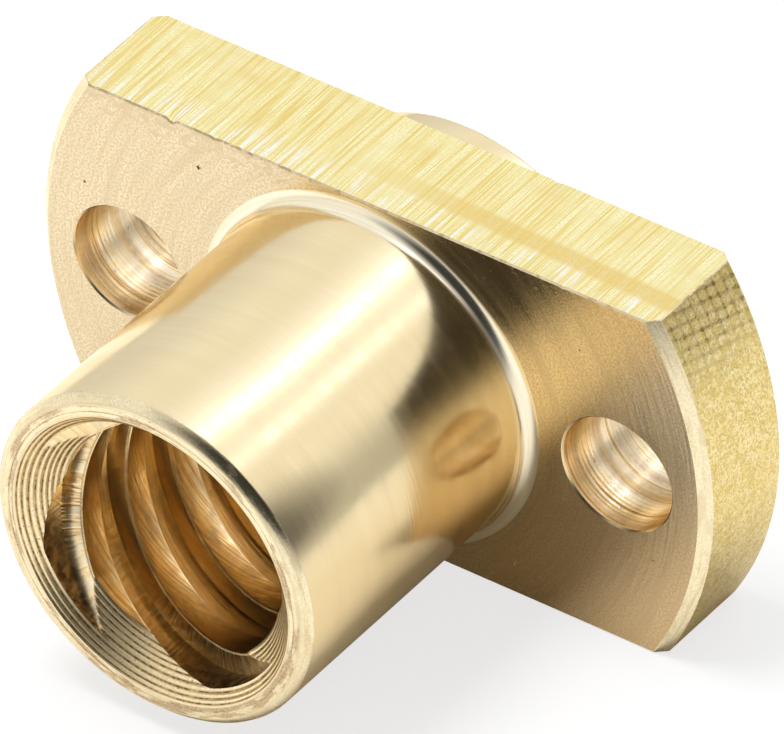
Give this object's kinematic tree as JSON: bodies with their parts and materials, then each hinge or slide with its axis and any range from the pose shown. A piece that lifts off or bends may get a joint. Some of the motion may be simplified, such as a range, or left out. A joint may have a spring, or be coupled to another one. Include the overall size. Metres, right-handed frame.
{
  "type": "flanged lead screw nut",
  "caption": "Brass flanged nut with a multi-start trapezoidal thread that turns a lead screw's rotation into travel; its cut flange bolts flat to a carriage.",
  "frame": {"origin": "on the bore axis, in the plane of the flange face that the barrel stands on", "axes": "+Y along the bore towards the rear boss, with the barrel towards -Y; +Z square to the two milled flats; +X towards one bolt hole"},
  "size_m": [0.0218, 0.0146, 0.0112],
  "materials": {
    "brass": "turned and milled bare brass"
  },
  "bodies": {
    "root": {"nut_body": "brass"}
  },
  "joints": []
}
